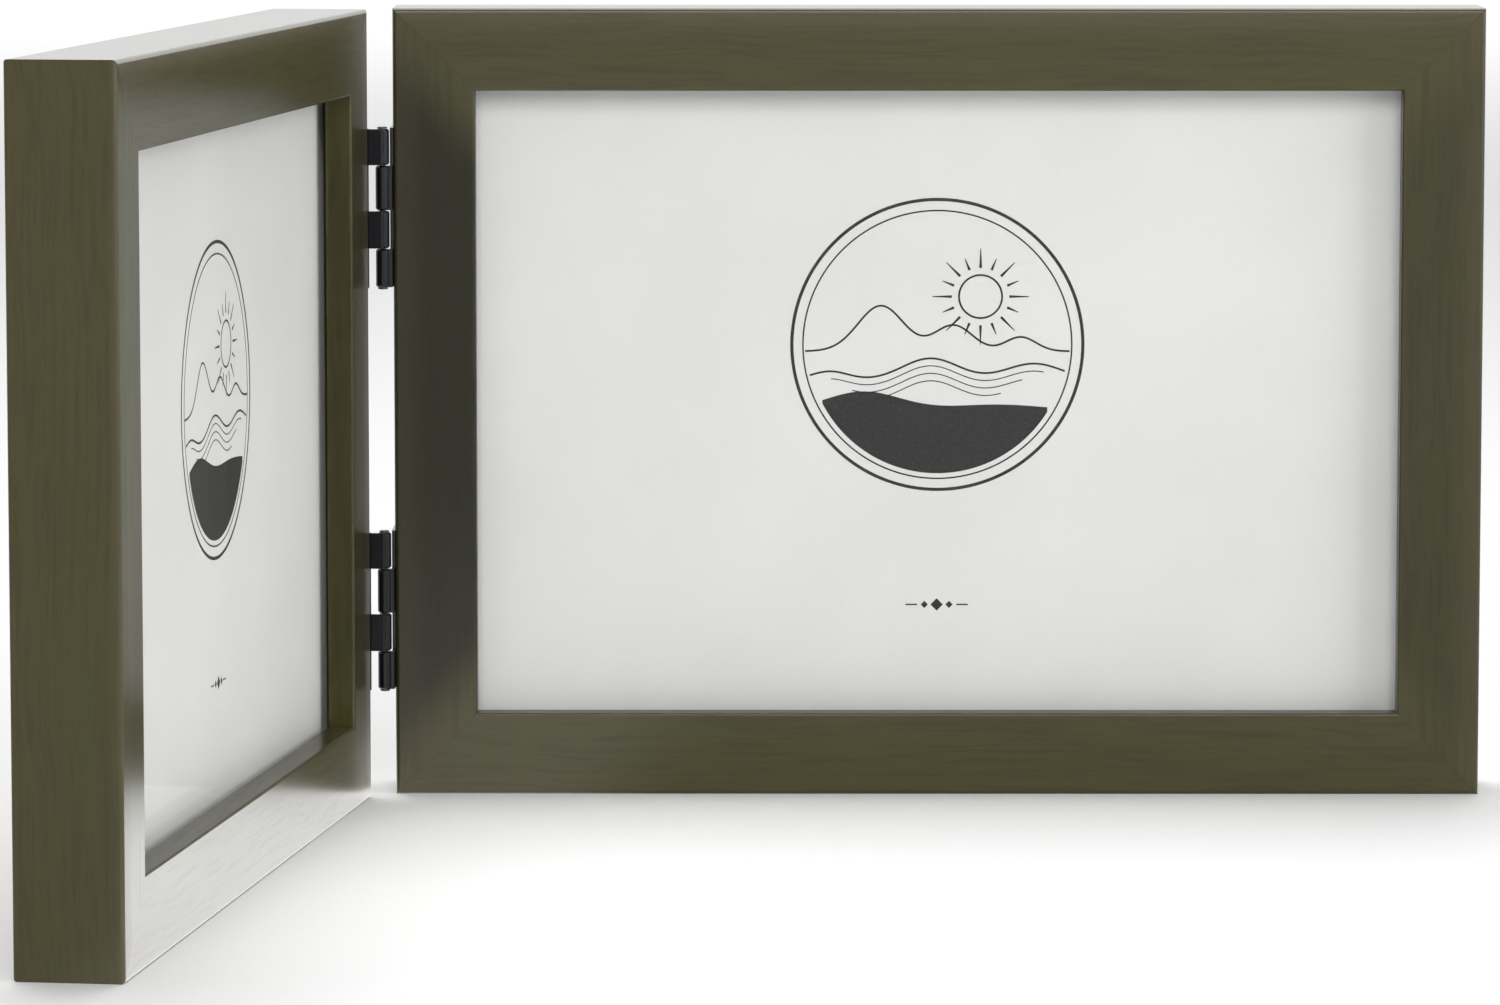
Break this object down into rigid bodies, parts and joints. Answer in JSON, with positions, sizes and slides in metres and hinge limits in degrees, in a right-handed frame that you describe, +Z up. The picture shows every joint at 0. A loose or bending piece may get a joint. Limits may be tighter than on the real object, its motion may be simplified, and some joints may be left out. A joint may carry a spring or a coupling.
{
  "type": "hinged double photo frame",
  "caption": "Landscape wooden photo frames with glass, joined edge to edge by butt hinges so that they stand open like a book.",
  "frame": {"origin": "middle of the right frame's foot, the bottom face of its bottom rail", "axes": "+X along the right frame away from the hinges, +Y from its front to its back, +Z up"},
  "size_m": [0.2075, 0.1845, 0.1204],
  "materials": {
    "stained_wood": "dark olive brown stain under satin lacquer",
    "clear_glass": "clear float glass",
    "printed_sheet": "matt pale grey paper with a black line print",
    "corrugated_card": "brown corrugated card",
    "back_board": "brown pressed fibre board",
    "black_metal": "semi gloss black",
    "black_screws": "black oxide",
    "hinge_pin_steel": "blackened steel",
    "bare_steel": "bare rolled steel"
  },
  "bodies": {
    "right_frame": {"right_bottom_rail": "stained_wood", "right_top_rail": "stained_wood", "right_hinge_stile": "stained_wood", "right_outer_stile": "stained_wood", "right_glass": "clear_glass", "right_insert_sheet": "printed_sheet", "right_filler_pad": "corrugated_card", "right_back_board": "back_board", "right_corner_v_nails": "bare_steel", "right_turn_button_screws": "black_screws", "right_hinge_screws": "black_screws", "upper_hinge_right_leaf": "black_metal", "lower_hinge_right_leaf": "black_metal", "upper_hinge_pin": "hinge_pin_steel", "lower_hinge_pin": "hinge_pin_steel"},
    "left_frame": {"left_bottom_rail": "stained_wood", "left_top_rail": "stained_wood", "left_hinge_stile": "stained_wood", "left_outer_stile": "stained_wood", "left_glass": "clear_glass", "left_insert_sheet": "printed_sheet", "left_filler_pad": "corrugated_card", "left_back_board": "back_board", "left_corner_v_nails": "bare_steel", "left_turn_button_screws": "black_screws", "left_hinge_screws": "black_screws", "upper_hinge_left_leaf": "black_metal", "lower_hinge_left_leaf": "black_metal"},
    "right_turn_button_lower_inner": {"right_turn_button_lower_inner": "black_metal"},
    "right_turn_button_lower_outer": {"right_turn_button_lower_outer": "black_metal"},
    "right_turn_button_upper_inner": {"right_turn_button_upper_inner": "black_metal"},
    "right_turn_button_upper_outer": {"right_turn_button_upper_outer": "black_metal"},
    "left_turn_button_lower_inner": {"left_turn_button_lower_inner": "black_metal"},
    "left_turn_button_lower_outer": {"left_turn_button_lower_outer": "black_metal"},
    "left_turn_button_upper_inner": {"left_turn_button_upper_inner": "black_metal"},
    "left_turn_button_upper_outer": {"left_turn_button_upper_outer": "black_metal"}
  },
  "joints": [
    {"name": "frame_fold", "type": "hinge", "parent": "right_frame", "child": "left_frame", "pos_m": [-0.0845, -0.0094, 0.0602], "axis": [0, 0, 1], "range_deg": [-82, 98]},
    {"name": "right_turn_button_lower_inner_swivel", "type": "hinge", "parent": "right_frame", "child": "right_turn_button_lower_inner", "pos_m": [-0.047, 0.0075, 0.00325], "axis": [0, 1, 0], "range_deg": [-90, 90]},
    {"name": "right_turn_button_lower_outer_swivel", "type": "hinge", "parent": "right_frame", "child": "right_turn_button_lower_outer", "pos_m": [0.047, 0.0075, 0.00325], "axis": [0, 1, 0], "range_deg": [-90, 90]},
    {"name": "right_turn_button_upper_inner_swivel", "type": "hinge", "parent": "right_frame", "child": "right_turn_button_upper_inner", "pos_m": [-0.047, 0.0075, 0.11715], "axis": [0, 1, 0], "range_deg": [-90, 90]},
    {"name": "right_turn_button_upper_outer_swivel", "type": "hinge", "parent": "right_frame", "child": "right_turn_button_upper_outer", "pos_m": [0.047, 0.0075, 0.11715], "axis": [0, 1, 0], "range_deg": [-90, 90]},
    {"name": "left_turn_button_lower_inner_swivel", "type": "hinge", "parent": "left_frame", "child": "left_turn_button_lower_inner", "pos_m": [-0.10645, -0.04418, 0.00325], "axis": [-0.9903, 0.1392, 0], "range_deg": [-90, 90]},
    {"name": "left_turn_button_lower_outer_swivel", "type": "hinge", "parent": "left_frame", "child": "left_turn_button_lower_outer", "pos_m": [-0.11954, -0.13727, 0.00325], "axis": [-0.9903, 0.1392, 0], "range_deg": [-90, 90]},
    {"name": "left_turn_button_upper_inner_swivel", "type": "hinge", "parent": "left_frame", "child": "left_turn_button_upper_inner", "pos_m": [-0.10645, -0.04418, 0.11715], "axis": [-0.9903, 0.1392, 0], "range_deg": [-90, 90]},
    {"name": "left_turn_button_upper_outer_swivel", "type": "hinge", "parent": "left_frame", "child": "left_turn_button_upper_outer", "pos_m": [-0.11954, -0.13727, 0.11715], "axis": [-0.9903, 0.1392, 0], "range_deg": [-90, 90]}
  ]
}
